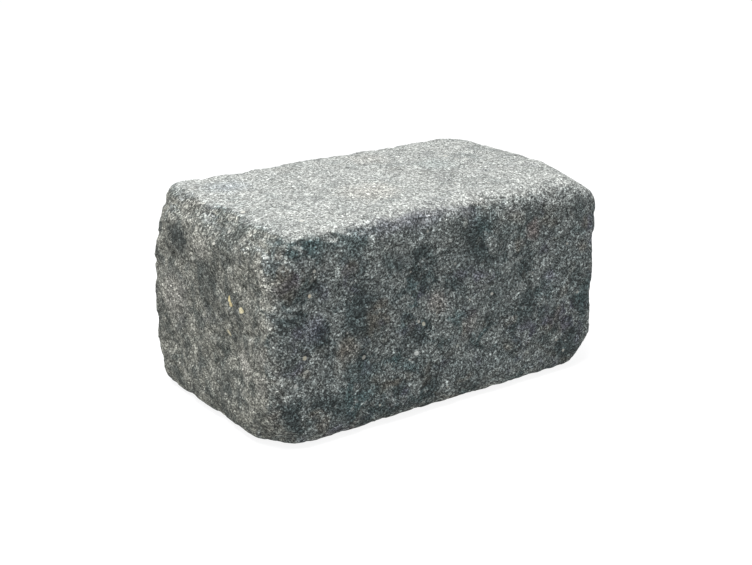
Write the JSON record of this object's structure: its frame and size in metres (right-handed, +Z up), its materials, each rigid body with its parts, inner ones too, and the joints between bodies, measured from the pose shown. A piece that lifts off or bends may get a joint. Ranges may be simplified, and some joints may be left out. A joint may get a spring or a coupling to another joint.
{
  "type": "tumbled wall block",
  "caption": "Solid concrete garden-wall block with flat beds, worn edges and corners knocked off by tumbling.",
  "frame": {"origin": "middle of the underside, on the bed that the block lies on", "axes": "+X along the length, +Y along the depth towards the back, +Z up"},
  "size_m": [0.29, 0.175, 0.15],
  "materials": {
    "concrete": "rough"
  },
  "bodies": {
    "root": {"wall_block": "concrete"}
  },
  "joints": []
}
